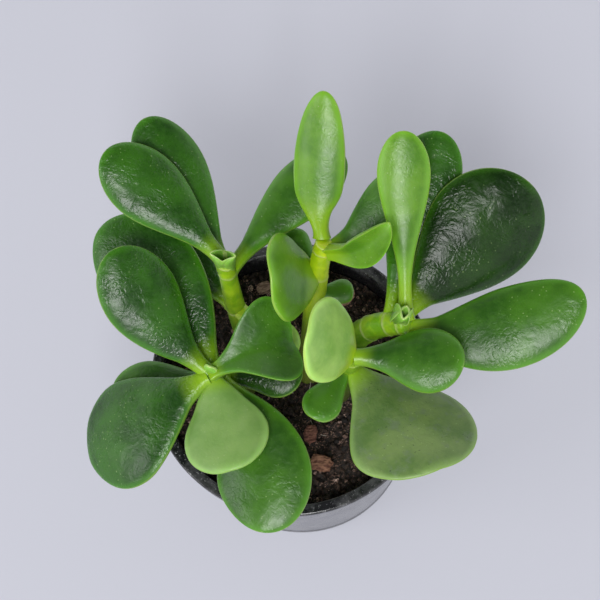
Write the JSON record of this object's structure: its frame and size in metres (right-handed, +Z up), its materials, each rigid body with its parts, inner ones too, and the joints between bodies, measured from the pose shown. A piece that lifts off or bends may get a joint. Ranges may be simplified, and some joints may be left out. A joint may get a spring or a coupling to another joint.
{
  "type": "potted jade plant",
  "caption": "Young jade plant with thick paddle-shaped leaves on fleshy stems, rooted in potting soil in a round plastic nursery pot.",
  "frame": {"origin": "centre of the pot's flat underside", "axes": "+Z up; -Y towards the side the plant is seen from; +X to the viewer's right"},
  "size_m": [0.1557, 0.1249, 0.1359],
  "materials": {
    "pot_plastic": "black moulded polypropylene, semi-gloss, a little dusty",
    "potting_soil": "matt dark brown crumbly peat and bark mix",
    "bark": "rough, dry composted bark",
    "stem_skin": "smooth, waxy, yellow-green",
    "bud_skin": "smooth, waxy, light green",
    "leaf_skin": "waxy semi-gloss deep green, paler at the base and margin"
  },
  "bodies": {
    "root": {"back_left_bud_leaf_1": "bud_skin", "back_left_bud_leaf_2": "bud_skin", "back_left_leaf_1": "leaf_skin", "back_left_leaf_2": "leaf_skin", "back_left_leaf_3": "leaf_skin", "back_left_leaf_4": "leaf_skin", "back_left_leaf_5": "leaf_skin", "back_left_stem": "stem_skin", "back_middle_leaf_1": "leaf_skin", "back_middle_leaf_2": "leaf_skin", "back_middle_leaf_3": "leaf_skin", "back_middle_leaf_4": "leaf_skin", "back_middle_leaf_5": "leaf_skin", "back_middle_leaf_6": "leaf_skin", "back_middle_stem": "stem_skin", "back_right_bud_leaf_1": "bud_skin", "back_right_bud_leaf_2": "bud_skin", "back_right_leaf_1": "leaf_skin", "back_right_leaf_2": "leaf_skin", "back_right_leaf_3": "leaf_skin", "back_right_leaf_4": "leaf_skin", "back_right_stem": "stem_skin", "bark_chip_1": "bark", "bark_chip_2": "bark", "bark_chip_3": "bark", "bark_chip_4": "bark", "front_left_bud_leaf_1": "bud_skin", "front_left_leaf_1": "leaf_skin", "front_left_leaf_2": "leaf_skin", "front_left_leaf_3": "leaf_skin", "front_left_leaf_4": "leaf_skin", "front_left_leaf_5": "leaf_skin", "front_left_leaf_6": "leaf_skin", "front_left_leaf_7": "leaf_skin", "front_left_leaf_8": "leaf_skin", "front_left_stem": "stem_skin", "front_right_leaf_1": "leaf_skin", "front_right_leaf_2": "leaf_skin", "front_right_leaf_3": "leaf_skin", "front_right_leaf_4": "leaf_skin", "front_right_stem": "stem_skin", "nursery_pot": "pot_plastic", "potting_soil": "potting_soil"}
  },
  "joints": []
}
